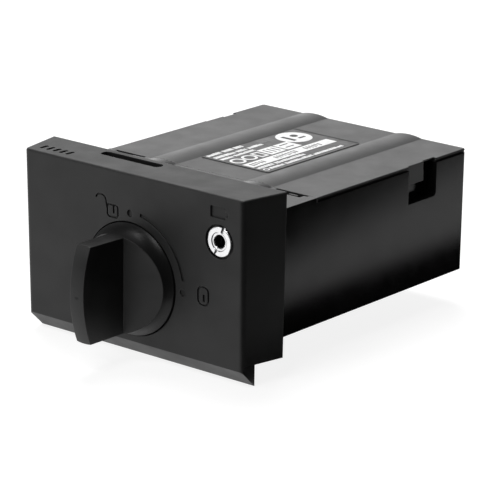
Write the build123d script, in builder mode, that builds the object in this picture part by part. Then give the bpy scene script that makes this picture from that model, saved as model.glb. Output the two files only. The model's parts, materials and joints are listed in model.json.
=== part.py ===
"""Removable battery cassette with a quarter-turn lock knob and a charging socket.

Millimetres. +X is to the right of the front plate, +Y runs from the plate to the rear, +Z is up.
The origin is midway between the knob's nose and the rear wall, on the centre line of the body,
level with the lowest edge of the plate's lip.
"""
from build123d import *
from math import asin, degrees
import os

os.makedirs("parts", exist_ok=True)

# ---------------------------------------------------------------- driving dimensions
body_width = 74.6
body_height = 35.9
body_reach = 101.6        # front face of the plate to the rear wall
plate_depth = 14.4
plate_height = 52.3       # lip edge to the top of the plate
plate_front_width = 77.8
plate_rear_width = 83.7
knob_reach = 20.8         # nose of the knob, ahead of the plate
lip_drop = 9.9            # the lip hangs this far below the body
wall = 1.8
clearance = 0.15          # gap round a loose part, on each side
draft = 0.1               # how much narrower each wall is at its foot

# ---------------------------------------------------------------- places worked out from them
face_y = (knob_reach - body_reach) / 2
seat_y = face_y + plate_depth
body_z = lip_drop
deck_z = body_z + body_height
half_body = body_width / 2
inner_half = half_body - wall - draft / 2
floor_z = body_z + wall

# Front plate
face_foot_z = 5.0         # where the face ends and the lip's chamfer begins
face_lean = 1.0           # the face lies back by this much from top to foot
lip_back = 6.2            # the lip's rear face, behind the plate's face
lip_half = 38.55          # half-length of the lip, whose ends are square
collar_z = 6.5            # underside of the collar behind the lip
corner_radius = 1.6       # upright front corners
plate_wall = 2.0
cavity_front = 3.2        # inside of the face
mark_depth = 0.5
mark_taper = 15.0         # the marks narrow to their floors
dash_depth = 0.4
flange_thickness = 1.8
slot_left, slot_right = -19.9, 1.3
slot_width = 3.3
tongue_station = 11.0     # middle of the latch tongue, behind the plate's face
screw_places = [(-30.0, 48.2), (30.0, 48.2), (-31.0, 13.8), (31.0, 13.8)]

# Lock knob
knob_x, knob_z = -0.4, 22.8
knob_radius = 13.75
skirt_radius = 15.7
recess_radius = 16.0
recess_floor = 4.0
arc_radius = 18.9         # engraved arc of the knob's travel
dot_radius = 18.4         # the two dots at its ends
detent_radius = 9.5
detent_step = detent_radius * 0.7071
detent_offset = (-detent_step, detent_step, 0)

# Charging socket
jack_x, jack_z = 30.85, 39.7
jack_bore = 1.8
barrel_radius = 2.65
nut_radius = 4.15
nut_front = 0.1
nut_seat = 1.3            # floor of the recess that the ring nut sits in

# Cells
cell_radius = 16.4
cell_length = 59.0
cell_x = 17.2
cell_z = floor_z + 0.3 + cell_radius
cell_front = 33.8

# Protection board, across the nose
board_depth = 20.0
board_thickness = 1.6

# Cover
cover_front = 33.2
cover_thickness = 1.2
lip_thickness = 0.4       # the cover's side edge is a thin lip over a rebate
rebate_depth = 0.6
rib_radius = 19.0
rib_rise = 0.6
rib_centre_z = deck_z + rib_rise - rib_radius
wall_top = deck_z - cover_thickness
nose_back = cover_front - 0.06

# Side windows and the cover's tabs in them
window_front, window_back = 74.5, 87.4
window_low = 34.9
window_middle = (window_front + window_back) / 2
window_length = window_back - window_front
tab_low = 40.2
tab_length = 7.4
tab_recess = 0.6          # the tab and the cover's edge above it stand back by this much
pocket_x = half_body - 3.7            # floor of each side window
pocket_wall = 0.8

bottom = (Align.CENTER, Align.CENTER, Align.MIN)
from_front = (Align.CENTER, Align.MIN, Align.CENTER)
sides = (-1, 1)


def at(depth):
    """Row y of a point that lies this far behind the top edge of the plate's face."""
    return face_y + depth


def front_view(depth):
    """Plane across the cassette: sketch x is +X, sketch y is +Z, and extruding by a minus goes back."""
    return Plane(origin=(0, at(depth), 0), x_dir=(1, 0, 0), z_dir=(0, -1, 0))


def rearward(x, depth, z):
    """Place on the front view whose own +Z points to the rear."""
    return Location((x, at(depth), z), (-90, 0, 0))


def plate_half(depth, z):
    """Half-width of the plate, which flares to the rear and narrows a little to its foot."""
    flare = (plate_rear_width - plate_front_width) / 2 * depth / plate_depth
    return plate_front_width / 2 + flare - (1 - z / plate_height) * 0.5


def save(builder, name):
    """Label a finished piece and write it."""
    builder.part.label = name
    export_step(builder.part, f"parts/{name}.step")


# ================================================================ front plate
face_plane = Plane(
    origin=(0, face_y, plate_height),
    x_dir=(1, 0, 0),
    z_dir=(0, face_foot_z - plate_height, -face_lean),
)


def on_face(x, z):
    """Sketch place on the leaning face."""
    return (x, z - plate_height)


def plate_outline(depth, low, high, inset):
    """Corners of the plate's cross-section at a depth."""
    left_low = (-plate_half(depth, low) + inset, low)
    right_low = (plate_half(depth, low) - inset, low)
    right_high = (plate_half(depth, high) - inset, high)
    left_high = (-plate_half(depth, high) + inset, high)
    return [left_low, right_low, right_high, left_high]


cavity_low = collar_z + wall
cavity_high = plate_height - plate_wall
flange_front = plate_depth - flange_thickness
boss_back = recess_floor + 2.0
hub_back = tongue_station - 1.8

with BuildPart() as front_plate:
    with BuildSketch(front_view(0)):
        with BuildLine():
            Polyline(*plate_outline(0, 0, plate_height, 0), close=True)
        make_face()
    with BuildSketch(front_view(plate_depth)):
        with BuildLine():
            Polyline(*plate_outline(plate_depth, 0, plate_height, 0), close=True)
        make_face()
    loft(ruled=True)
    # Side profile: leaning face, chamfered lip, step behind the lip, collar
    with BuildSketch(Plane.YZ):
        with BuildLine():
            Polyline(
                (at(0), plate_height),
                (at(face_lean), face_foot_z),
                (at(lip_back), 0),
                (at(lip_back), collar_z),
                (at(plate_depth), collar_z),
                (at(plate_depth), plate_height),
                close=True,
            )
        make_face()
    extrude(amount=plate_rear_width, both=True, mode=Mode.INTERSECT)
    uprights = front_plate.faces().sort_by(Axis.Y)[0].edges().filter_by(Axis.X, reverse=True)
    fillet(uprights, radius=corner_radius)
    top_edges = front_plate.faces().sort_by(Axis.Z)[-1].edges()
    fillet(top_edges.sort_by(Axis.Y)[:-1], radius=0.6)
    # Square ends of the lip, inside the flare of the plate
    for side in sides:
        with Locations((side * (lip_half + plate_depth), at(0), 0)):
            Box(2 * plate_depth, 4 * lip_back, 2 * collar_z, mode=Mode.SUBTRACT)
    # Cavity, open to the rear
    with BuildSketch(front_view(cavity_front)):
        with BuildLine():
            Polyline(*plate_outline(cavity_front, cavity_low, cavity_high, plate_wall), close=True)
        make_face()
    with BuildSketch(front_view(plate_depth)):
        with BuildLine():
            Polyline(*plate_outline(plate_depth, cavity_low, cavity_high, plate_wall), close=True)
        make_face()
    loft(ruled=True, mode=Mode.SUBTRACT)
    # Cup behind the knob's recess, hub for the bush, detent pocket, screw bosses
    with Locations(rearward(knob_x, cavity_front, knob_z)):
        Cylinder(recess_radius + 2.2, boss_back - cavity_front, align=bottom)
        Cylinder(6.6, hub_back - cavity_front, align=bottom)
        with Locations(detent_offset):
            Cylinder(2.6, hub_back - cavity_front, align=bottom)
    with Locations(*[rearward(x, cavity_front, z) for x, z in screw_places]):
        Cylinder(2.7, flange_front - cavity_front, align=bottom)
    with Locations(*[rearward(x, 5.5, z) for x, z in screw_places]):
        Cylinder(0.9, plate_depth, align=bottom, mode=Mode.SUBTRACT)
    with Locations(rearward(knob_x, -1, knob_z)):
        Cylinder(recess_radius, recess_floor + 1, align=bottom, mode=Mode.SUBTRACT)
        Cylinder(4.6, plate_depth, align=bottom, mode=Mode.SUBTRACT)
    with Locations(rearward(knob_x, recess_floor - 0.5, knob_z)):
        with Locations(detent_offset):
            Cylinder(1.3, 5.0, align=bottom, mode=Mode.SUBTRACT)
    # Recess and hole for the charging socket
    with Locations(rearward(jack_x, -1, jack_z)):
        Cylinder(nut_radius + 0.6, nut_seat + 1, align=bottom, mode=Mode.SUBTRACT)
        Cylinder(barrel_radius + clearance, 6.0, align=bottom, mode=Mode.SUBTRACT)
    # Slot that the latch tongue swings out through
    with BuildSketch(Plane.XY.offset(plate_height - 4)):
        with Locations(((slot_left + slot_right) / 2, at(tongue_station))):
            RectangleRounded(slot_right - slot_left, slot_width, 1.3)
    extrude(amount=6, mode=Mode.SUBTRACT)
    # Engraved marks: travel arc, end dots, open and closed padlocks, battery pictogram
    with BuildSketch(face_plane):
        with BuildLine():
            CenterArc(on_face(knob_x, knob_z), arc_radius, 10, 69)
        trace(line_width=1.0)
    extrude(amount=-mark_depth, taper=mark_taper, mode=Mode.SUBTRACT)
    with BuildSketch(face_plane):
        with Locations(on_face(knob_x, knob_z + dot_radius), on_face(knob_x + dot_radius, knob_z)):
            Circle(1.0)
    extrude(amount=-mark_depth, taper=mark_taper, mode=Mode.SUBTRACT)
    with BuildSketch(face_plane):
        with Locations(on_face(25.2, 23.5)):
            RectangleRounded(4.1, 5.5, 1.7)
            RectangleRounded(3.1, 4.5, 1.2, mode=Mode.SUBTRACT)
        with Locations(on_face(25.4, 22.9)):
            Rectangle(0.6, 2.0)
    extrude(amount=-mark_depth, mode=Mode.SUBTRACT)
    with BuildSketch(face_plane):
        with Locations(on_face(-6.6, 40.7)):
            RectangleRounded(4.3, 3.9, 1.0)
            RectangleRounded(3.3, 2.9, 0.5, mode=Mode.SUBTRACT)
        with Locations(on_face(-6.2, 41.1)):
            Rectangle(0.6, 2.2)
        with BuildLine():
            Line(on_face(-8.5, 41.0), on_face(-8.9, 42.8))
            CenterArc(on_face(-10.8, 42.8), 1.9, 0, 160)
        trace(line_width=0.5)
    extrude(amount=-mark_depth, mode=Mode.SUBTRACT)
    with BuildSketch(face_plane):
        with Locations(on_face(30.4, 47.6)):
            Rectangle(5.1, 3.1)
        with Locations(on_face(33.3, 47.5)):
            Rectangle(1.0, 1.1)
    extrude(amount=-mark_depth, mode=Mode.SUBTRACT)
    # Five plain dashes engraved in the top
    with BuildSketch(Plane.XY.offset(plate_height)):
        with Locations((-30.8, at(4.4))):
            with GridLocations(2.4, 1, 5, 1):
                SlotOverall(3.2, 1.2, rotation=90)
    extrude(amount=-dash_depth, mode=Mode.SUBTRACT)
save(front_plate, "front_plate")

# ================================================================ housing
catch_x, catch_front = 30.6, 30.3     # catch pockets in the nose's roof, each with a nub in it
catch_width, catch_depth = 5.8, 0.9
nub_front, nub_width, nub_length = 31.0, 2.9, 0.6
slit_x, slit_front = 29.15, 32.2      # slit along the cover's front edge, behind each catch pocket
slit_width, slit_depth = 10.9, 1.2
rail_height = 23.0
cradle_height = 5.0
skirt_drop = 2.6
inner_rear = body_reach - wall
contact_places = [-12.0, 12.0]

with BuildPart() as lower_housing:
    # Tray with drafted walls
    with BuildSketch(Plane.XY.offset(body_z)):
        with Locations((0, at(plate_depth))):
            Rectangle(body_width - 2 * draft, body_reach - plate_depth - draft, align=(Align.CENTER, Align.MIN))
    with BuildSketch(Plane.XY.offset(wall_top)):
        with Locations((0, at(plate_depth))):
            Rectangle(body_width, body_reach - plate_depth, align=(Align.CENTER, Align.MIN))
    loft(ruled=True)
    rear_uprights = lower_housing.faces().sort_by(Axis.Y)[-1].edges().filter_by(Axis.X, reverse=True)
    fillet(rear_uprights, radius=1.0)
    # Roof of the nose, ahead of the cover and level with it, with the ribs' front ends
    with BuildSketch(Plane.XY.offset(wall_top)):
        with Locations((0, at(plate_depth))):
            Rectangle(body_width, nose_back - plate_depth, align=(Align.CENTER, Align.MIN))
    extrude(amount=cover_thickness)
    with BuildSketch(front_view(plate_depth)):
        with Locations(*[(side * cell_x, rib_centre_z) for side in sides]):
            Circle(rib_radius)
        with Locations((0, deck_z - cover_thickness / 2)):
            Rectangle(2 * body_width, 4 * body_height, align=(Align.CENTER, Align.MAX), mode=Mode.SUBTRACT)
    extrude(amount=-(nose_back - plate_depth))
    # Catch pockets with their nubs, and a slit along the cover's edge
    for side in sides:
        with Locations((side * catch_x, at(catch_front), deck_z)):
            Box(catch_width, slit_front - catch_front, 2 * catch_depth, align=from_front, mode=Mode.SUBTRACT)
        with Locations((side * catch_x, at(nub_front), deck_z - catch_depth)):
            Box(nub_width, nub_length, catch_depth, align=(Align.CENTER, Align.MIN, Align.MIN))
        with Locations((side * slit_x, at(slit_front), deck_z)):
            Box(slit_width, nose_back - slit_front, 2 * slit_depth, align=from_front, mode=Mode.SUBTRACT)
    # Flange that closes the back of the plate
    with BuildSketch(front_view(flange_front)):
        flange_low = cavity_low + clearance
        flange_high = cavity_high - clearance
        with Locations((0, (flange_low + flange_high) / 2)):
            Rectangle(2 * (plate_half(flange_front, 0) - plate_wall - clearance), flange_high - flange_low)
    extrude(amount=-flange_thickness)
    # Cell space, open above; electronics space, open ahead
    with Locations((0, at(nose_back), floor_z)):
        Box(
            2 * inner_half,
            inner_rear - nose_back,
            body_height,
            align=(Align.CENTER, Align.MIN, Align.MIN),
            mode=Mode.SUBTRACT,
        )
    with Locations((0, at(flange_front - 1), floor_z)):
        Box(
            2 * inner_half,
            cover_front - flange_front + 1,
            deck_z - wall - floor_z,
            align=(Align.CENTER, Align.MIN, Align.MIN),
            mode=Mode.SUBTRACT,
        )
    # Ears for the two lower plate screws
    with Locations(*[(x * 1.06, at(flange_front), 13.8) for x, z in screw_places[2:]]):
        Box(7.0, flange_thickness, 6.0, align=from_front)
    for x, z in screw_places:
        with Locations(Location((x, seat_y, z), (-90, 0, 0))):
            CounterSinkHole(radius=1.3, counter_sink_radius=2.2, depth=flange_thickness)
    # Cradles under the cells, and rails that hold the board
    with Locations(*[(0, at(cell_front + step), floor_z) for step in (8.0, 30.0, 52.0)]):
        Box(2 * inner_half, 1.6, cradle_height, align=bottom)
    with Locations(*[rearward(side * cell_x, cell_front, cell_z) for side in sides]):
        Cylinder(cell_radius + 0.1, cell_length, align=bottom, mode=Mode.SUBTRACT)
    with Locations((0, at(cell_front), floor_z)):
        Box(
            6.0,
            cell_length,
            cradle_height,
            align=(Align.CENTER, Align.MIN, Align.MIN),
            mode=Mode.SUBTRACT,
        )
    for side in sides:
        with Locations(*[(side * (inner_half - 1.2), at(depth), floor_z) for depth in (19.0, 22.4)]):
            Box(2.4, 1.2, rail_height, align=bottom)
    # Closed pockets behind the side windows
    for side in sides:
        block_x = side * (inner_half + pocket_x - pocket_wall) / 2
        with Locations((block_x, at(window_middle), window_low - pocket_wall)):
            Box(
                inner_half - pocket_x + pocket_wall,
                window_length + 3.0,
                wall_top - window_low + pocket_wall,
                align=bottom,
            )
        with BuildSketch(Plane.YZ.offset(side * pocket_x)) as window:
            with Locations((at(window_middle), window_low)):
                Rectangle(window_length, body_height, align=(Align.CENTER, Align.MIN))
            fillet(window.vertices().group_by(Axis.Y)[0].sort_by(Axis.X)[-1], radius=1.0)
        extrude(amount=side * 6.0, mode=Mode.SUBTRACT)
    # Contact windows in the rear wall
    with Locations(*[(x, at(body_reach), cell_z) for x in contact_places]):
        Box(7.0, 3 * wall, 15.0, mode=Mode.SUBTRACT)
save(lower_housing, "lower_housing")

# ================================================================ cover
with BuildPart() as top_cover:
    with BuildSketch(Plane.XY.offset(deck_z - cover_thickness)):
        with Locations((0, at(cover_front))):
            Rectangle(body_width, body_reach - cover_front, align=(Align.CENTER, Align.MIN))
    extrude(amount=cover_thickness)
    fillet(top_cover.edges().filter_by(Axis.Z).group_by(Axis.Y)[-1], radius=1.0)
    fillet(top_cover.faces().sort_by(Axis.Z)[-1].edges().sort_by(Axis.Y)[1:], radius=0.35)
    # Two long ribs, each an arc over a cell
    with BuildSketch(front_view(cover_front)):
        with Locations(*[(side * cell_x, rib_centre_z) for side in sides]):
            Circle(rib_radius)
        with Locations((0, deck_z - cover_thickness / 2)):
            Rectangle(2 * body_width, 4 * body_height, align=(Align.CENTER, Align.MAX), mode=Mode.SUBTRACT)
    extrude(amount=-(body_reach - cover_front - 0.35))
    # Skirt that drops inside the tray, left open where the side pockets are
    with BuildSketch(Plane.XY.offset(deck_z - cover_thickness)):
        with Locations((0, at((cover_front + inner_rear) / 2))):
            Rectangle(2 * (inner_half - clearance), inner_rear - cover_front - 2 * clearance)
            Rectangle(2 * (inner_half - clearance) - 2.4, inner_rear - cover_front - 2.4, mode=Mode.SUBTRACT)
        with Locations((0, at(window_middle))):
            Rectangle(body_width, window_length + 4.0, mode=Mode.SUBTRACT)
    extrude(amount=-skirt_drop)
    # Hollows under the ribs, which clear the cells
    with Locations(*[rearward(side * cell_x, cell_front, rib_centre_z) for side in sides]):
        Cylinder(rib_radius - cover_thickness, cell_length + 1.0, align=bottom, mode=Mode.SUBTRACT)
    # Rebate under each side edge, tabs that hang down into the side windows, notched edge above them
    for side in sides:
        with Locations((side * half_body, at(cover_front), wall_top)):
            Box(
                2 * rebate_depth,
                body_reach - cover_front,
                2 * (cover_thickness - lip_thickness),
                align=from_front,
                mode=Mode.SUBTRACT,
            )
        with Locations((side * (half_body - tab_recess - wall / 2), at(window_front + clearance), tab_low)):
            Box(wall, tab_length, wall_top + 0.6 - tab_low, align=(Align.CENTER, Align.MIN, Align.MIN))
        with Locations((side * half_body, at(window_middle), deck_z)):
            Box(2 * tab_recess, window_length, 4 * cover_thickness, mode=Mode.SUBTRACT)
        with Locations((side * half_body, at(window_front + tab_length), deck_z)):
            Box(
                4 * tab_recess,
                window_length - tab_length,
                4 * cover_thickness,
                align=from_front,
                mode=Mode.SUBTRACT,
            )
        with Locations((side * half_body, at(window_front + tab_length + clearance), wall_top)):
            Box(
                2 * (half_body - pocket_x),
                window_length - tab_length - clearance,
                2 * (cover_thickness - lip_thickness),
                align=from_front,
                mode=Mode.SUBTRACT,
            )
save(top_cover, "top_cover")

label_x, label_middle = -0.18, 64.2
label_width, label_length, label_thickness = 24.35, 41.8, 0.15
with BuildPart() as rating_label:
    with BuildSketch(Plane.XY.offset(deck_z)):
        with Locations((label_x, at(label_middle))):
            RectangleRounded(label_width, label_length, 0.8)
    extrude(amount=label_thickness)
save(rating_label, "rating_label")

with BuildPart() as plate_screws:
    with Locations(*[rearward(x, 6.0, z) for x, z in screw_places]):
        Cylinder(0.9, plate_depth - 6.1, align=bottom)
        with Locations((0, 0, plate_depth - 7.0)):
            Cone(0.9, 2.0, 0.9, align=bottom)
        with Locations((0, 0, plate_depth - 6.1)):
            Box(2.4, 0.5, 0.8, mode=Mode.SUBTRACT)
            Box(0.5, 2.4, 0.8, mode=Mode.SUBTRACT)
save(plate_screws, "plate_screws")

# ================================================================ lock
knob_front = -knob_reach
blade_end = 13.7          # half-length of the blade at its nose
skirt_depth = 2.7
flare_front, flare_back = -5.5, 0.2   # the drum flares out to its skirt between these
blade_half = 2.3
crease_half = 2.9
crease_depth = -5.5
facet_slope = 0.283
facet_end = 20.0          # the facets are cut out to here, past the skirt
nose_radius = 34.6
nose_angle = degrees(asin(blade_end / nose_radius))

with BuildPart() as lock_knob:
    # Tapered drum with an arched nose
    with BuildSketch(Plane.XY.offset(knob_z)):
        with BuildLine():
            nose = CenterArc((knob_x, at(knob_front + nose_radius)), nose_radius, 270, nose_angle)
            flare = ThreePointArc(
                (knob_x + knob_radius, at(flare_front)),
                (knob_x + knob_radius + 0.4, at(-2.3)),
                (knob_x + skirt_radius, at(flare_back)),
            )
            Line(nose @ 1, flare @ 0)
            Polyline(
                flare @ 1,
                (knob_x + skirt_radius, at(skirt_depth)),
                (knob_x, at(skirt_depth)),
                nose @ 0,
            )
        make_face()
    revolve(axis=Axis((knob_x, 0, knob_z), (0, 1, 0)))
    # Both flanks are cut away to leave the blade and two sloping facets
    for side in sides:
        with BuildSketch(Plane.XY.offset(knob_z - 20)):
            with BuildLine():
                Polyline(
                    (knob_x + side * blade_half, at(knob_front - 2)),
                    (knob_x + side * crease_half, at(crease_depth)),
                    (knob_x + side * facet_end, at(crease_depth + facet_slope * (facet_end - crease_half))),
                    (knob_x + side * facet_end, at(knob_front - 2)),
                    close=True,
                )
            make_face()
        extrude(amount=40, mode=Mode.SUBTRACT)
    # Hollow underside with a hub, square socket and detent track
    with Locations(rearward(knob_x, 0.8, knob_z)):
        Cylinder(4.05, 4.0, align=bottom, mode=Mode.SUBTRACT)
    with Locations(rearward(knob_x, -9.0, knob_z)):
        Box(5.0, 5.0, 10.0, align=bottom, mode=Mode.SUBTRACT)
    with BuildSketch(front_view(2.7)):
        with Locations((knob_x, knob_z)):
            Circle(detent_radius + 1.5)
            Circle(detent_radius - 1.5, mode=Mode.SUBTRACT)
    extrude(amount=1.0, mode=Mode.SUBTRACT)
save(lock_knob, "lock_knob")

with BuildPart() as knob_spindle:
    with Locations(rearward(knob_x, -8.9, knob_z)):
        Box(4.9, 4.9, 9.7, align=bottom)
    with Locations(rearward(knob_x, 0.8, knob_z)):
        Cylinder(3.6, tongue_station - 1.2 - 0.8, align=bottom)
    with Locations(rearward(knob_x, tongue_station - 1.2, knob_z)):
        Box(4.8, 4.8, 2.4, align=bottom)
    with Locations(rearward(knob_x, tongue_station + 1.2 - 7, knob_z)):
        Cylinder(1.25, 8.0, align=bottom, mode=Mode.SUBTRACT)
    # Groove for the seal
    with Locations(rearward(knob_x, 5.2, knob_z)):
        Cylinder(3.7, 1.4, align=bottom, mode=Mode.SUBTRACT)
        Cylinder(2.9, 1.4, align=bottom)
        Cylinder(1.25, 1.4, align=bottom, mode=Mode.SUBTRACT)
save(knob_spindle, "knob_spindle")

with BuildPart() as knob_seal:
    with BuildSketch(front_view(5.9)):
        with Locations((knob_x, knob_z)):
            Circle(3.56)
            Circle(2.95, mode=Mode.SUBTRACT)
    extrude(amount=0.5, both=True)
save(knob_seal, "knob_seal")

with BuildPart() as detent_plunger:
    with Locations(rearward(knob_x, 2.2, knob_z)):
        with Locations(detent_offset):
            Cylinder(1.15, 3.6, align=bottom)
    fillet(detent_plunger.faces().sort_by(Axis.Y)[0].edges(), radius=0.8)
save(detent_plunger, "detent_plunger")

spring_turns = 4
with BuildPart() as detent_spring:
    with BuildLine():
        coil = Helix(
            pitch=2.1 / spring_turns,
            height=2.1,
            radius=0.85,
            center=(knob_x - detent_step, at(6.0), knob_z - detent_step),
            direction=(0, 1, 0),
        )
    with BuildSketch(Plane(coil @ 0, z_dir=coil % 0)):
        Circle(0.15)
    sweep(path=coil, is_frenet=True)
save(detent_spring, "detent_spring")

with BuildPart() as spindle_bush:
    with Locations(rearward(knob_x, recess_floor, knob_z)):
        Cylinder(4.6, hub_back - recess_floor, align=bottom)
        Cylinder(3.65, plate_depth, align=bottom, mode=Mode.SUBTRACT)
    fillet(spindle_bush.faces().sort_by(Axis.Y)[0].edges().sort_by(SortBy.LENGTH)[0], radius=0.2)
save(spindle_bush, "spindle_bush")

tongue_reach = 33.4
tip_half = 1.3
tip_x = knob_x - tongue_reach + 0.7
with BuildPart() as latch_tongue:
    with BuildSketch(front_view(tongue_station - 1.2)):
        with Locations((knob_x, knob_z)):
            Circle(5.6)
        with BuildLine():
            Line((knob_x, knob_z - 4.4), (tip_x, knob_z - tip_half))
            ThreePointArc(
                (tip_x, knob_z - tip_half),
                (knob_x - tongue_reach, knob_z),
                (tip_x, knob_z + tip_half),
            )
            Polyline(
                (tip_x, knob_z + tip_half),
                (knob_x, knob_z + tip_half),
                (knob_x, knob_z - 4.4),
            )
        make_face()
    extrude(amount=-2.4)
    with Locations(rearward(knob_x, tongue_station - 2, knob_z)):
        Box(4.9, 4.9, 4.0, align=bottom, mode=Mode.SUBTRACT)
save(latch_tongue, "latch_tongue")

with BuildPart() as tongue_washer:
    with Locations(rearward(knob_x, tongue_station + 1.2, knob_z)):
        Cylinder(4.2, 0.5, align=bottom)
        Cylinder(1.6, 0.5, align=bottom, mode=Mode.SUBTRACT)
save(tongue_washer, "tongue_washer")

with BuildPart() as tongue_screw:
    with Locations(rearward(knob_x, tongue_station + 1.7, knob_z)):
        Cylinder(2.6, 1.8, align=bottom)
    with Locations(rearward(knob_x, tongue_station - 4.5, knob_z)):
        Cylinder(1.2, 6.2, align=bottom)
    with Locations(rearward(knob_x, tongue_station + 2.5, knob_z)):
        Box(3.2, 0.6, 2.0, align=bottom, mode=Mode.SUBTRACT)
        Box(0.6, 3.2, 2.0, align=bottom, mode=Mode.SUBTRACT)
    fillet(tongue_screw.faces().sort_by(Axis.Y)[-1].edges().sort_by(SortBy.LENGTH)[-1], radius=0.5)
save(tongue_screw, "tongue_screw")

# ================================================================ charging socket
jack_back = 11.8

with BuildPart() as jack_barrel:
    with Locations(rearward(jack_x, nut_front + 0.15, jack_z)):
        Cylinder(barrel_radius, jack_back - 1.0, align=bottom)
        with Locations((0, 0, 4.6)):
            Cylinder(3.8, jack_back - 5.6, align=bottom)
        Cylinder(jack_bore, jack_back - 1.0, align=bottom, mode=Mode.SUBTRACT)
    fillet(jack_barrel.faces().sort_by(Axis.Y)[0].edges(), radius=0.35)
save(jack_barrel, "jack_barrel")

with BuildPart() as jack_ring_nut:
    with Locations(rearward(jack_x, nut_front, jack_z)):
        Cylinder(nut_radius, nut_seat - nut_front, align=bottom)
        Cylinder(barrel_radius + 0.02, nut_seat - nut_front, align=bottom, mode=Mode.SUBTRACT)
    fillet(jack_ring_nut.faces().sort_by(Axis.Y)[0].edges().sort_by(SortBy.LENGTH)[-1], radius=0.45)
    with Locations(Location((jack_x, at(nut_front), jack_z), (0, -70, 0))):
        Box(9.0, 1.2, 0.9, mode=Mode.SUBTRACT)
save(jack_ring_nut, "jack_ring_nut")

with BuildPart() as jack_washer:
    with Locations(rearward(jack_x, cavity_front, jack_z)):
        Cylinder(4.6, 0.8, align=bottom)
        Cylinder(barrel_radius + 0.05, 0.8, align=bottom, mode=Mode.SUBTRACT)
save(jack_washer, "jack_washer")

with BuildPart() as jack_housing:
    with Locations((jack_x, at(cavity_front + 0.8), jack_z)):
        Box(9.2, jack_back + 0.4 - cavity_front - 0.8, 9.2, align=from_front)
    fillet(jack_housing.edges().filter_by(Axis.Y), radius=1.0)
    with Locations(rearward(jack_x, cavity_front, jack_z)):
        Cylinder(barrel_radius + 0.02, 1.65, align=bottom, mode=Mode.SUBTRACT)
    with Locations(rearward(jack_x, 4.85, jack_z)):
        Cylinder(3.82, jack_back - 4.85, align=bottom, mode=Mode.SUBTRACT)
    with Locations(*[(jack_x + x, at(jack_back), jack_z - 3.9) for x in (-2.6, 2.6)]):
        Box(1.7, 3.0, 0.5, mode=Mode.SUBTRACT)
save(jack_housing, "jack_housing")

lug_z = jack_z - 3.9
with BuildPart() as jack_lugs:
    with Locations(*[(jack_x + x, at(jack_back - 1.4), lug_z) for x in (-2.6, 2.6)]):
        Box(1.5, board_depth - jack_back + 1.4, 0.3, align=from_front)
save(jack_lugs, "jack_lugs")

# ================================================================ cells
sleeve_thickness = 0.2
can_radius = cell_radius - sleeve_thickness

for side_name, side, front_end in (("left", -1, True), ("right", 1, False)):
    cap_depth = cell_front if front_end else cell_front + cell_length
    inward = 1 if front_end else -1
    cap_turn = (-90, 0, 0) if front_end else (90, 0, 0)
    cap_place = Location((side * cell_x, at(cap_depth), cell_z), cap_turn)
    can_place = Location((side * cell_x, at(cap_depth + inward * 1.4), cell_z), cap_turn)

    with BuildPart() as cell_can:
        with Locations(can_place):
            Cylinder(can_radius, cell_length - 1.6, align=bottom)
        crimp = cell_can.edges().filter_by(GeomType.CIRCLE)
        fillet(crimp, radius=0.8)
        with Locations(can_place):
            with Locations((0, 0, 3.0)):
                Cylinder(can_radius, 1.2, align=bottom, mode=Mode.SUBTRACT)
                Cylinder(can_radius - 0.8, 1.2, align=bottom)
    save(cell_can, f"cell_{side_name}")

    with BuildPart() as cell_sleeve:
        with Locations(can_place):
            with Locations((0, 0, 1.0)):
                Cylinder(cell_radius, cell_length - 3.6, align=bottom)
                Cylinder(can_radius, cell_length - 3.6, align=bottom, mode=Mode.SUBTRACT)
    save(cell_sleeve, f"cell_{side_name}_sleeve")

    with BuildPart() as cell_insulator:
        with Locations(can_place):
            with Locations((0, 0, -0.4)):
                Cylinder(can_radius - 2.0, 0.4, align=bottom)
                Cylinder(5.6, 0.4, align=bottom, mode=Mode.SUBTRACT)
    save(cell_insulator, f"cell_{side_name}_insulator")

    with BuildPart() as cell_cap:
        with Locations(cap_place):
            with Locations((0, 0, 0.2)):
                Cylinder(4.8, 1.2, align=bottom)
        fillet(cell_cap.edges().filter_by(GeomType.CIRCLE), radius=0.3)
    save(cell_cap, f"cell_{side_name}_positive_cap")

# Nickel strips: one across the rear ends, one up to the board from each front end
strip_thickness = 0.2
strip_width = 8.0
with BuildPart() as rear_link:
    with Locations((0, at(cell_front + cell_length - 0.2), cell_z)):
        Box(2 * cell_x + strip_width, strip_thickness, strip_width, align=from_front)
    fillet(rear_link.edges().filter_by(Axis.Y), radius=1.5)
save(rear_link, "rear_link")

for strip_name, side in (("positive_strip", -1), ("negative_strip", 1)):
    with BuildPart() as strip:
        with BuildSketch(Plane.YZ.offset(side * cell_x)):
            with BuildLine():
                Polyline(
                    (at(cell_front + 0.2), cell_z - 4.0),
                    (at(cell_front + 0.2), cell_z + 9.0),
                    (at(board_depth + board_thickness), cell_z + 9.0),
                )
                offset(amount=strip_thickness, side=Side.LEFT)
            make_face()
        extrude(amount=strip_width / 2, both=True)
    save(strip, strip_name)

with BuildPart() as cell_divider:
    with Locations((0, at(cell_front + 1.0), floor_z + 6.0)):
        Box(1.2, cell_length - 2.0, 22.0, align=(Align.CENTER, Align.MIN, Align.MIN))
save(cell_divider, "cell_divider")

with BuildPart() as foam_pads:
    for side in sides:
        with Locations((side * cell_x, at(cell_front + cell_length / 2), cell_z + cell_radius)):
            Box(3.0, 40.0, 0.3, align=bottom)
save(foam_pads, "foam_pads")

# ================================================================ board
board_face = board_depth + board_thickness

with BuildPart() as protection_board:
    with Locations((0, at(board_depth), 14.0)):
        Box(2 * inner_half - 2.0, board_thickness, 27.0, align=(Align.CENTER, Align.MIN, Align.MIN))
    with Locations(*[(x, at(board_depth), 17.0) for x in (-24.0, 24.0)]):
        Box(3.0, 3 * board_thickness, 3.0, mode=Mode.SUBTRACT)
save(protection_board, "protection_board")

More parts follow.
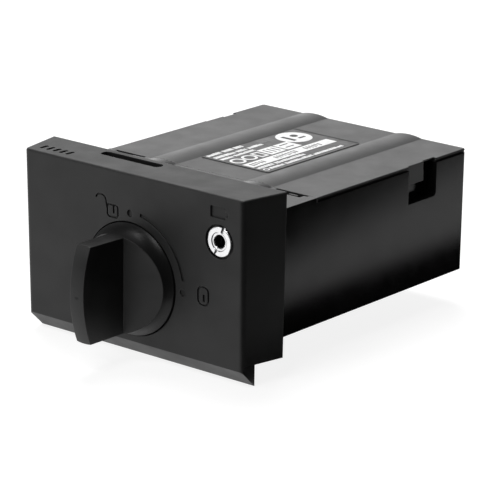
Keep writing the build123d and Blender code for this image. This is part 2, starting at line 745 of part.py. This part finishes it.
with BuildPart() as power_transistors:
    with Locations(*[(x, at(board_face), 24.0) for x in (-6.0, 6.0)]):
        Box(6.6, 2.3, 6.1, align=from_front)
    with Locations(*[(x, at(board_face), 28.4) for x in (-6.0, 6.0)]):
        Box(5.3, 0.8, 3.0, align=from_front)
save(power_transistors, "power_transistors")

with BuildPart() as control_chip:
    with Locations((0, at(board_face), 36.0)):
        Box(7.0, 1.4, 4.4, align=from_front)
save(control_chip, "control_chip")

with BuildPart() as chip_pins:
    with Locations(*[(1.27 * i, at(board_face), 36.0 + side * 2.8) for i in range(-2, 3) for side in sides]):
        Box(0.5, 0.4, 1.2, align=from_front)
save(chip_pins, "chip_pins")

with BuildPart() as filter_capacitors:
    with Locations(*[rearward(x, board_face, 35.5) for x in (-26.5, 26.5)]):
        Cylinder(3.15, 7.5, align=bottom)
    fillet(filter_capacitors.faces().group_by(Axis.Y)[-1].edges(), radius=0.5)
save(filter_capacitors, "filter_capacitors")

with BuildPart() as charge_inductor:
    with Locations((-24.5, at(board_face), 24.5)):
        Box(9.0, 4.5, 9.0, align=from_front)
    fillet(charge_inductor.edges().filter_by(Axis.Y), radius=1.5)
save(charge_inductor, "charge_inductor")

with BuildPart() as resettable_fuse:
    with Locations((26.0, at(board_face), 24.0)):
        Box(8.0, 2.4, 5.0, align=from_front)
    fillet(resettable_fuse.edges().filter_by(Axis.Y), radius=1.2)
save(resettable_fuse, "resettable_fuse")

thermistor_z = floor_z + 29.8
with BuildPart() as thermistor:
    with Locations((0, at(cell_front + 8.0), thermistor_z)):
        Box(2.4, 6.0, 1.6, align=from_front)
    fillet(thermistor.edges().filter_by(Axis.Y), radius=0.7)
save(thermistor, "thermistor")

# ================================================================ output contacts
with BuildPart() as contact_carrier:
    with Locations((0, at(inner_rear - 1.6), cell_z)):
        Box(38.0, 1.6, 20.0, align=from_front)
    with Locations(*[(x, at(inner_rear - 1.6), cell_z) for x in contact_places]):
        Box(6.0, 3.4, 13.0, mode=Mode.SUBTRACT)
save(contact_carrier, "contact_carrier")

for contact_name, x in zip(("contact_negative", "contact_positive"), contact_places):
    with BuildPart() as contact:
        with Locations((x, at(inner_rear - 1.6 - 0.5), cell_z)):
            Box(5.6, 0.5, 16.0, align=from_front)
        with Locations((x, at(inner_rear - 1.6), cell_z)):
            Box(5.4, 1.0, 10.0, align=from_front)
    fillet(contact.faces().sort_by(Axis.Y)[-1].edges(), radius=0.4)
    save(contact, contact_name)

# ================================================================ leads
lead_radius = 0.7
lead_z = floor_z + 1.6
contact_front = inner_rear - 2.1

for lead_name, side in (("output_lead_negative", -1), ("output_lead_positive", 1)):
    with BuildPart() as output_lead:
        with BuildLine():
            route = FilletPolyline(
                (side * 12.0, at(contact_front), 22.0),
                (side * 12.0, at(contact_front - 2.2), 22.0),
                (side * 12.0, at(contact_front - 2.2), lead_z),
                (side * 1.3, at(contact_front - 2.2), lead_z),
                (side * 1.3, at(24.5), lead_z),
                (side * 1.3, at(24.5), 17.0),
                (side * 1.3, at(board_face), 17.0),
                radius=1.0,
            )
        with BuildSketch(Plane(route @ 0, z_dir=route % 0)):
            Circle(lead_radius)
        sweep(path=route)
    save(output_lead, lead_name)

with BuildPart() as thermistor_lead:
    with BuildLine():
        route = FilletPolyline(
            (0, at(cell_front + 8.0), thermistor_z),
            (0, at(24.0), thermistor_z),
            (0, at(24.0), 40.2),
            (0, at(board_face), 40.2),
            radius=0.55,
        )
    with BuildSketch(Plane(route @ 0, z_dir=route % 0)):
        Circle(0.4)
    sweep(path=route)
save(thermistor_lead, "thermistor_lead")
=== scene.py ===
"""Looks for the battery cassette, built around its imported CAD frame. Metres, +Z up, +Y to the rear."""
import json
import math
import random

import bmesh
import bpy
from mathutils import Matrix, Vector


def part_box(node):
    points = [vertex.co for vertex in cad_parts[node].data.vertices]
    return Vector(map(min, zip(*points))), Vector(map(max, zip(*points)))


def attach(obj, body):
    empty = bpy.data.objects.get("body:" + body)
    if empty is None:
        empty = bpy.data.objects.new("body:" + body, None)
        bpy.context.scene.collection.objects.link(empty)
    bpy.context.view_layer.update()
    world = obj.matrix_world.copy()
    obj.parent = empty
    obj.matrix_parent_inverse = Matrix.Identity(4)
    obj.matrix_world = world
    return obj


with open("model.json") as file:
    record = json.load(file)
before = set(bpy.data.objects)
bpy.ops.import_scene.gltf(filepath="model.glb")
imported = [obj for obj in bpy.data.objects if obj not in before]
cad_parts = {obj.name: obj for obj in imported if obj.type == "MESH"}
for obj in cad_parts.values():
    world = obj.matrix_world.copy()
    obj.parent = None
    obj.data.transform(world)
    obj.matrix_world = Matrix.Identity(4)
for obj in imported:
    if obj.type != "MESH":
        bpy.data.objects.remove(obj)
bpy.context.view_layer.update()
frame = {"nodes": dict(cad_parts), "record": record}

MM = 0.001


# ---------------------------------------------------------------- camera, first of all
VIEW_AZIMUTH = math.radians(39.40)
VIEW_ELEVATION = math.radians(17.21)
VIEW_ROLL = math.radians(0.81)
VIEW_DISTANCE = 0.7684
VIEW_LENS = 208.92
VIEW_AIM = Vector((0.01959, -0.01587, 0.03094))


def add_camera():
    """Camera at the photograph's viewing angle, aimed at a point inside the body."""
    data = bpy.data.cameras.new("camera")
    data.lens = VIEW_LENS
    data.sensor_width = 36
    data.clip_start = 0.01
    camera = bpy.data.objects.new("camera", data)
    bpy.context.scene.collection.objects.link(camera)
    back = Vector((
        math.sin(VIEW_AZIMUTH) * math.cos(VIEW_ELEVATION),
        -math.cos(VIEW_AZIMUTH) * math.cos(VIEW_ELEVATION),
        math.sin(VIEW_ELEVATION),
    ))
    right = Vector((0, 0, 1)).cross(back).normalized()
    up = back.cross(right)
    turn = Matrix((right, up, back)).transposed() @ Matrix.Rotation(VIEW_ROLL, 3, "Z")
    camera.matrix_world = Matrix.Translation(VIEW_AIM + back * VIEW_DISTANCE) @ turn.to_4x4()
    bpy.context.scene.camera = camera


add_camera()


# ---------------------------------------------------------------- materials
class Nodes:
    """Short calls for building one node material."""

    def __init__(self, name):
        self.material = bpy.data.materials.new(name)
        self.material.use_nodes = True
        self.tree = self.material.node_tree
        self.shader = self.tree.nodes["Principled BSDF"]
        self.place = self.add("ShaderNodeTexCoord").outputs["Object"]

    def add(self, kind, **settings):
        node = self.tree.nodes.new(kind)
        for key, value in settings.items():
            setattr(node, key, value)
        return node

    def link(self, source, target):
        self.tree.links.new(source, target)

    def noise(self, scale, detail=2.0, roughness=0.5, stretch=None):
        """Noise at a scale in cells per metre."""
        node = self.add("ShaderNodeTexNoise")
        node.inputs["Scale"].default_value = scale
        node.inputs["Detail"].default_value = detail
        node.inputs["Roughness"].default_value = roughness
        source = self.place
        if stretch:
            mapping = self.add("ShaderNodeMapping")
            mapping.inputs["Scale"].default_value = stretch
            self.link(self.place, mapping.inputs["Vector"])
            source = mapping.outputs["Vector"]
        self.link(source, node.inputs["Vector"])
        return node.outputs["Fac"]

    def spread(self, source, low, high):
        """Map 0..1 noise to a range of numbers."""
        node = self.add("ShaderNodeMapRange")
        node.inputs["From Min"].default_value = 0.3
        node.inputs["From Max"].default_value = 0.7
        node.inputs["To Min"].default_value = low
        node.inputs["To Max"].default_value = high
        self.link(source, node.inputs["Value"])
        return node.outputs["Result"]

    def blend(self, factor, a, b):
        """Mix of two colours, or of two colour outputs."""
        node = self.add("ShaderNodeMix", data_type="RGBA")
        self.link(factor, node.inputs["Factor"])
        for socket, value in ((node.inputs["A"], a), (node.inputs["B"], b)):
            if hasattr(value, "is_output"):
                self.link(value, socket)
            else:
                socket.default_value = (*value, 1)
        return node.outputs["Result"]

    def bump(self, source, height, previous=None):
        """Bump of a real height in metres."""
        node = self.add("ShaderNodeBump")
        node.inputs["Strength"].default_value = 1.0
        node.inputs["Distance"].default_value = height
        self.link(source, node.inputs["Height"])
        if previous:
            self.link(previous, node.inputs["Normal"])
        return node.outputs["Normal"]

    def soft_edge(self, radius):
        """Normal of a surface whose edges are rounded by a small radius in metres."""
        bevel = self.add("ShaderNodeBevel", samples=6)
        bevel.inputs["Radius"].default_value = radius
        return bevel.outputs["Normal"]

    def edge_wear(self, low, high, width=0.0006):
        """How exposed an edge is, from 0 to 1, by comparing the bevelled normal with the true one."""
        bevel = self.add("ShaderNodeBevel", samples=4)
        bevel.inputs["Radius"].default_value = width
        geometry = self.add("ShaderNodeNewGeometry")
        dot = self.add("ShaderNodeVectorMath", operation="DOT_PRODUCT")
        self.link(bevel.outputs["Normal"], dot.inputs[0])
        self.link(geometry.outputs["Normal"], dot.inputs[1])
        span = self.add("ShaderNodeMapRange")
        span.inputs["From Min"].default_value = high
        span.inputs["From Max"].default_value = low
        self.link(dot.outputs["Value"], span.inputs["Value"])
        return span.outputs["Result"]

    def socket(self, name, value):
        self.shader.inputs[name].default_value = value

    def feed(self, name, source):
        self.link(source, self.shader.inputs[name])


def moulded_plastic(name, dark, light, rough, grain, grain_height=0.000012, specular=0.5, edge=0.0003):
    """Injection-moulded plastic: spark-eroded grain, faint flow patches, soft and rubbed edges."""
    n = Nodes(name)
    patches = n.noise(55, 3)
    fine = n.noise(grain, 2, 0.6)
    body = n.blend(n.spread(patches, 0.0, 1.0), (dark,) * 3, (light,) * 3)
    worn = n.edge_wear(0.93, 0.995)
    n.feed("Base Color", n.blend(worn, body, (light * 1.5,) * 3))
    n.feed("Roughness", n.spread(n.noise(140, 4), rough[0], rough[1]))
    n.feed("Normal", n.bump(fine, grain_height, n.soft_edge(edge)))
    n.socket("Specular IOR Level", specular)
    return n.material


def plated_metal(name, colour, rough, brush=(900, 900, 900), height=0.000004):
    """Plated metal with fine drawing marks and a little tarnish."""
    n = Nodes(name)
    tarnish = n.noise(420, 4)
    dull = tuple(c * 0.78 for c in colour)
    n.feed("Base Color", n.blend(n.spread(tarnish, 0.0, 0.6), colour, dull))
    n.feed("Roughness", n.spread(n.noise(800, 3), rough[0], rough[1]))
    n.feed("Normal", n.bump(n.noise(1.0, 3, 0.6, stretch=brush), height))
    n.socket("Metallic", 1.0)
    return n.material


def plain_piece(name, low, high, rough, scale=400, height=0.00001, metallic=0.0):
    """A small part's finish: two close tones, uneven gloss and a fine surface."""
    n = Nodes(name)
    tone = n.noise(scale, 4)
    n.feed("Base Color", n.blend(n.spread(tone, 0.0, 1.0), low, high))
    n.feed("Roughness", n.spread(n.noise(scale * 1.7, 3), rough[0], rough[1]))
    n.feed("Normal", n.bump(n.noise(scale * 4, 3), height))
    n.socket("Metallic", metallic)
    return n.material


def make_materials():
    """One finish for each of the record's material slots."""
    return {
        "black_plate": moulded_plastic(
            "plate_plastic", 0.011, 0.016, (0.42, 0.52), 5200, specular=0.36,
        ),
        # The housing's black is darker than the cover's: painted shade, so that the side walls read as
        # shaded
        "black_housing": moulded_plastic("housing_plastic_painted_shade", 0.006, 0.009, (0.11, 0.17), 5200, specular=0.20),
        "black_cover": moulded_plastic("cover_plastic", 0.014, 0.019, (0.32, 0.40), 6200),
        "black_knob": moulded_plastic("knob_plastic", 0.008, 0.012, (0.32, 0.42), 5200, specular=0.30),
        "label_film": plain_piece("label_film", (0.020,) * 3, (0.028,) * 3, (0.30, 0.42), 300, 0.000004),
        "chrome_plate": plated_metal("chrome_plate", (0.86, 0.86, 0.87), (0.10, 0.22)),
        "zinc_steel": plated_metal("zinc_steel", (0.62, 0.63, 0.65), (0.25, 0.42)),
        "spring_steel": plated_metal("spring_steel", (0.50, 0.50, 0.52), (0.25, 0.40)),
        "white_acetal": plain_piece("white_acetal", (0.72, 0.72, 0.68), (0.80, 0.80, 0.77), (0.35, 0.5)),
        "seal_rubber": plain_piece("seal_rubber", (0.014,) * 3, (0.022,) * 3, (0.6, 0.8)),
        "black_nylon": plain_piece("black_nylon", (0.018,) * 3, (0.028,) * 3, (0.45, 0.6)),
        "tinned_brass": plated_metal("tinned_brass", (0.70, 0.68, 0.60), (0.3, 0.45)),
        "contact_gold": plated_metal("contact_gold", (0.85, 0.64, 0.28), (0.2, 0.32)),
        "nickel_strip": plated_metal("nickel_strip", (0.66, 0.65, 0.62), (0.25, 0.4), (40, 2500, 40)),
        "cell_steel": plated_metal("cell_steel", (0.62, 0.62, 0.61), (0.2, 0.35), (2500, 40, 2500)),
        "cell_sleeve_film": plain_piece(
            "cell_sleeve_film", (0.02, 0.13, 0.08), (0.03, 0.18, 0.11), (0.2, 0.35),
        ),
        "insulating_paper": plain_piece(
            "insulating_paper", (0.42, 0.37, 0.27), (0.55, 0.50, 0.38), (0.8, 0.95),
        ),
        "grey_foam": plain_piece("grey_foam", (0.10,) * 3, (0.20,) * 3, (0.9, 1.0), 900, 0.00008),
        "circuit_board": plain_piece("circuit_board", (0.012, 0.10, 0.04), (0.02, 0.16, 0.07), (0.25, 0.4)),
        "chip_epoxy": plain_piece("chip_epoxy", (0.014,) * 3, (0.024,) * 3, (0.55, 0.7)),
        "capacitor_can": plated_metal("capacitor_can", (0.70, 0.71, 0.73), (0.25, 0.4)),
        "ferrite": plain_piece("ferrite", (0.06,) * 3, (0.11,) * 3, (0.6, 0.8)),
        "fuse_coating": plain_piece("fuse_coating", (0.62, 0.42, 0.06), (0.75, 0.55, 0.10), (0.25, 0.4)),
        "lead_insulation_red": plain_piece("lead_red", (0.45, 0.02, 0.02), (0.55, 0.03, 0.03), (0.3, 0.45)),
        "lead_insulation_black": plain_piece("lead_black", (0.014,) * 3, (0.022,) * 3, (0.3, 0.45)),
        "lead_insulation_white": plain_piece("lead_white", (0.68,) * 3, (0.78,) * 3, (0.3, 0.45)),
    }


MATERIALS = make_materials()


def dress_cad_nodes():
    """Give every carried-over node its slot's finish."""
    slots = {entry["node"]: entry["material_slot"] for entry in frame["record"]["subparts"]}
    for name, node in frame["nodes"].items():
        node.data.materials.clear()
        node.data.materials.append(MATERIALS[slots[name]])


dress_cad_nodes()


# ---------------------------------------------------------------- small mesh helpers
def new_piece(name, mesh_builder, material, body="case"):
    """A mesh object from a bmesh function, finished and riding on a body."""
    work = bmesh.new()
    mesh_builder(work)
    bmesh.ops.recalc_face_normals(work, faces=work.faces)
    mesh = bpy.data.meshes.new(name)
    work.to_mesh(mesh)
    work.free()
    piece = bpy.data.objects.new(name, mesh)
    bpy.context.scene.collection.objects.link(piece)
    mesh.materials.append(material)
    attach(piece, body)
    return piece


def raised_outline(work, points, base, top):
    """A flat plate with the given outline, from height base to height top."""
    low = [work.verts.new((x, y, base)) for x, y in points]
    high = [work.verts.new((x, y, top)) for x, y in points]
    work.faces.new(low[::-1])
    work.faces.new(high)
    for i in range(len(points)):
        j = (i + 1) % len(points)
        work.faces.new((low[i], low[j], high[j], high[i]))


# ---------------------------------------------------------------- label print
# Millimetres on the label: across from its left edge, and along from its front edge
TEXT_ROWS = (
    (0.6, 1.6, ((1.1, 6.9), (8.0, 12.2), (12.9, 16.4))),
    (3.5, 1.5, ((1.1, 9.8), (10.6, 14.8), (15.6, 21.9))),
    (5.9, 1.4, ((1.1, 6.1), (6.9, 15.6))),
    (19.1, 1.4, ((1.0, 7.8), (8.7, 21.8))),
    (21.5, 1.3, ((3.6, 9.6), (10.5, 22.4), (23.2, 36.2))),
)
RINGS = ((10.8, 3.4, 2.4, 1.6), (10.8, 8.4, 2.4, 1.6), (22.1, 2.1, 1.0, 0.6))
WHITE_BOXES = ((7.7, 15.1, 5.8, 6.7), (7.7, 22.4, 5.8, 6.3), (14.3, 1.0, 4.0, 37.7))
FRAME_BOX = (8.5, 11.2, 4.8, 3.1, 0.7)
STRIP_MARKS = ((2.6, 5), (13.2, 8), (26.4, 6))
BADGE = (6.3, 33.9, 5.4)
# Marks on the badge, measured from its centre: a bar, a dot and an upright
BADGE_BAR = (-2.6, -3.0, 5.2, 1.3)
BADGE_DOT = (-1.0, 1.2, 1.2)
BADGE_UPRIGHT = (1.2, 0.2, 0.9, 2.8)
BOX_LINES = ((8.8, 16.4, 3.6, 0.45), (8.8, 18.2, 3.6, 0.45), (8.8, 20.0, 3.6, 0.45))
BOX_POSTS = ((9.0, 23.6, 0.5, 3.6), (11.4, 23.6, 0.5, 3.6))
STRIP_MARK_START, STRIP_MARK_STEP, STRIP_MARK_LENGTH = 15.2, 1.25, 0.5
SIDE_BORDER, REAR_BORDER = 0.22, 0.7
GREY_PATCH = (0.4, 22.6, 3.5, 6.0)


class Print:
    """Flat shapes in label millimetres, raised a little over the label."""

    def __init__(self, work, lift, thickness):
        low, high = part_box("rating_label")
        self.work = work
        self.corner = low
        self.base = high.z + lift * MM
        self.top = self.base + thickness * MM

    def shape(self, points):
        placed = [(self.corner.x + across * MM, self.corner.y + along * MM) for across, along in points]
        raised_outline(self.work, placed, self.base, self.top)

    def bar(self, across, along, width, length):
        self.shape([
            (across, along),
            (across + width, along),
            (across + width, along + length),
            (across, along + length),
        ])

    def disc(self, across, along, radius, steps=40):
        turn = [math.tau * i / steps for i in range(steps)]
        self.shape([(across + radius * math.cos(a), along + radius * math.sin(a)) for a in turn])

    def ring(self, across, along, outer, inner, steps=32):
        for i in range(steps):
            a, b = math.tau * i / steps, math.tau * (i + 1) / steps
            self.shape([
                (across + radius * math.cos(angle), along + radius * math.sin(angle))
                for radius, angle in ((outer, a), (outer, b), (inner, b), (inner, a))
            ])


def light_print(work):
    """Lines of plain dashes, plain symbols, a badge and a long strip, none of them lettering."""
    ink = Print(work, -0.01, 0.04)
    dashes = random.Random(5)
    for across, width, words in TEXT_ROWS:
        for start, end in words:
            along = start
            while along < end:
                length = min(dashes.uniform(0.6, 1.5), end - along)
                trim = dashes.choice((0.0, 0.0, 0.25))
                ink.bar(across + trim, along, width - trim, length)
                along += length + dashes.uniform(0.16, 0.26)
    for across, along, outer, inner in RINGS:
        ink.ring(across, along, outer, inner)
    for box in WHITE_BOXES:
        ink.bar(*box)
    across, along, width, length, line = FRAME_BOX
    ink.bar(across, along, line, length)
    ink.bar(across + width - line, along, line, length)
    ink.bar(across + line, along, width - 2 * line, line)
    ink.bar(across + line, along + length - line, width - 2 * line, line)
    ink.disc(*BADGE)


def dark_print(work):
    """Dark shapes over the light ones, and the border at the label's left and rear edges."""
    ink = Print(work, 0.03, 0.02)
    marks = random.Random(8)
    low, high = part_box("rating_label")
    width, length = (high.x - low.x) / MM, (high.y - low.y) / MM
    ink.bar(0.04, 0.4, SIDE_BORDER, length - 0.8)
    ink.bar(0.5, length - REAR_BORDER - 0.05, width - 1.0, REAR_BORDER)
    for start, count in STRIP_MARKS:
        for i in range(count):
            across = STRIP_MARK_START + marks.uniform(0.0, 0.3)
            ink.bar(across, start + STRIP_MARK_STEP * i, marks.uniform(1.6, 2.2), STRIP_MARK_LENGTH)
    for box in BOX_LINES + BOX_POSTS:
        ink.bar(*box)
    across, along = BADGE[:2]
    ink.bar(across + BADGE_BAR[0], along + BADGE_BAR[1], *BADGE_BAR[2:])
    ink.disc(across + BADGE_DOT[0], along + BADGE_DOT[1], BADGE_DOT[2], 20)
    ink.bar(across + BADGE_UPRIGHT[0], along + BADGE_UPRIGHT[1], *BADGE_UPRIGHT[2:])


def patch_print(work):
    """A faint grey patch at the label's left, past the middle of its length."""
    Print(work, -0.01, 0.03).bar(*GREY_PATCH)


new_piece(
    "label_print",
    light_print,
    plain_piece("label_ink", (0.80,) * 3, (0.90,) * 3, (0.35, 0.5), 900, 0.000004),
)
new_piece(
    "label_dark_print",
    dark_print,
    plain_piece("label_dark_ink", (0.008,) * 3, (0.012,) * 3, (0.5, 0.6), 900, 0.000004),
)
new_piece(
    "label_patch",
    patch_print,
    plain_piece("label_grey_ink", (0.055,) * 3, (0.075,) * 3, (0.3, 0.42), 900, 0.000004),
)


# ---------------------------------------------------------------- stage and light
# Soft parts of the surround: the way each lies, the cosines where it starts and is full, its brightness
SURROUND = (
    ((-0.85, 0.50, -0.12), 0.45, 0.97, 1.30),
    ((-0.55, -0.80, 0.20), 0.20, 1.00, 0.35),
)
SURROUND_BASE = 0.02
FLOOR_GLOW = 0.86
FLOOR_REACH = 6
CARD_REACH = 1.5
CARD_SLANT = 0.20         # how much the far card's edge runs out to the side, going back
# The near card is painted shadow: a black strip beside the body that stands for the body's own shadow on the
# table
SHADOW_CARD_EDGE, SHADOW_CARD_WIDTH = 0.001, 0.033
CARD_FOOT_ASIDE, CARD_FOOT_BACK = 0.056, 0.07
CARD_LIFTS = (0.0005, 0.0007)
# Light panels: name, place, aim, size, power
PANELS = (
    ("overhead", (-0.22, 0.20, 0.80), (0, 0.02, 0.03), (0.4, 0.5), 6.0),
    ("front_left", (-0.60, -0.75, 0.42), (0, -0.04, 0.02), (0.45, 0.3), 0.8),
    ("front_top", (0.10, -0.50, 0.70), (0, -0.04, 0.02), (0.35, 0.12), 1.5),
)


def add_sheet(name, corners, height):
    """A flat stage piece with the given corners."""
    work = bmesh.new()
    work.faces.new([work.verts.new((x, y, height)) for x, y in corners])
    mesh = bpy.data.meshes.new(name)
    work.to_mesh(mesh)
    work.free()
    sheet = bpy.data.objects.new(name, mesh)
    bpy.context.scene.collection.objects.link(sheet)
    return sheet


def add_floor():
    """A pale floor lit from within, like a light table, so that its shadows stay pale."""
    reach = FLOOR_REACH
    floor = add_sheet("floor", [(-reach, -reach), (reach, -reach), (reach, reach), (-reach, reach)], 0)
    n = Nodes("floor_paint")
    n.feed("Base Color", n.blend(n.noise(3, 3), (0.25, 0.25, 0.25), (0.28, 0.28, 0.28)))
    n.socket("Roughness", 0.9)
    n.socket("Specular IOR Level", 0.1)
    n.socket("Emission Color", (1.0, 1.0, 1.0, 1))
    n.socket("Emission Strength", FLOOR_GLOW)
    floor.data.materials.append(n.material)
    floor.visible_diffuse = False


def add_black_card_and_painted_shadow():
    """Two black sheets on the table at the right, seen only in gloss and mostly in the right side's.

    The near one, beside the body, is painted shadow: it stands for the body's own shadow on the table. The
    far one is a black card. A strip of bright table is left between the two, and shows as a soft slanting
    band on the side.
    """
    near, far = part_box("lower_housing")
    reach = CARD_REACH
    foot = Vector((far.x + CARD_FOOT_ASIDE, near.y + CARD_FOOT_BACK))
    inner = far.x + SHADOW_CARD_EDGE
    outer = inner + SHADOW_CARD_WIDTH
    # The strip beside the body is painted shadow, a black sheet in place of the body's shadow on the table,
    # seen in the side's gloss
    beside = [(inner, -reach), (outer, -reach), (outer, reach), (inner, reach)]
    beyond = [
        (foot.x - CARD_SLANT * reach, foot.y - reach),
        (foot.x + 2 * reach, foot.y - reach),
        (foot.x + 2 * reach, foot.y + reach),
        (foot.x + CARD_SLANT * reach, foot.y + reach),
    ]
    # One black for the far card and for the painted shadow strip beside the body
    n = Nodes("card_and_shadow_black")
    n.feed("Base Color", n.blend(n.noise(40, 3), (0.010,) * 3, (0.014,) * 3))
    n.socket("Roughness", 1.0)
    n.socket("Specular IOR Level", 0.0)
    for name, corners, height in zip(("painted_shadow_card", "card_beyond"), (beside, beyond), CARD_LIFTS):
        card = add_sheet(name, corners, height)
        card.data.materials.append(n.material)
        card.visible_camera = False
        card.visible_diffuse = False
        card.visible_shadow = False


def add_panel(name, place, aim, size, power):
    """A soft rectangular light, aimed at a point."""
    data = bpy.data.lights.new(name, "AREA")
    data.shape = "RECTANGLE"
    data.size, data.size_y = size
    data.energy = power
    lamp = bpy.data.objects.new(name, data)
    bpy.context.scene.collection.objects.link(lamp)
    lamp.location = place
    lamp.rotation_euler = (Vector(aim) - Vector(place)).to_track_quat("-Z", "Y").to_euler()
    lamp.visible_camera = False
    return lamp


def add_surround():
    """A studio that is bright at the left and behind, and falls off to shade at the right."""
    world = bpy.data.worlds.new("studio")
    world.use_nodes = True
    tree = world.node_tree
    direction = tree.nodes.new("ShaderNodeTexCoord").outputs["Generated"]
    total = None
    for toward, start, full, strength in SURROUND:
        cosine = tree.nodes.new("ShaderNodeVectorMath")
        cosine.operation = "DOT_PRODUCT"
        cosine.inputs[1].default_value = Vector(toward).normalized()
        tree.links.new(direction, cosine.inputs[0])
        glow = tree.nodes.new("ShaderNodeMapRange")
        glow.interpolation_type = "SMOOTHSTEP"
        glow.inputs["From Min"].default_value = start
        glow.inputs["From Max"].default_value = full
        glow.inputs["To Max"].default_value = strength
        tree.links.new(cosine.outputs["Value"], glow.inputs["Value"])
        add = tree.nodes.new("ShaderNodeMath")
        add.inputs[1].default_value = SURROUND_BASE
        tree.links.new(glow.outputs["Result"], add.inputs[0])
        if total:
            tree.links.new(total, add.inputs[1])
        total = add.outputs["Value"]
    tree.links.new(total, tree.nodes["Background"].inputs["Strength"])
    tree.nodes["Background"].inputs["Color"].default_value = (1.0, 1.0, 1.0, 1)
    bpy.context.scene.world = world


def add_light():
    """The surround, the three panels and a plain view transform."""
    add_surround()
    for panel in PANELS:
        add_panel(*panel)
    bpy.context.scene.view_settings.view_transform = "Standard"


add_floor()
add_black_card_and_painted_shadow()
add_light()
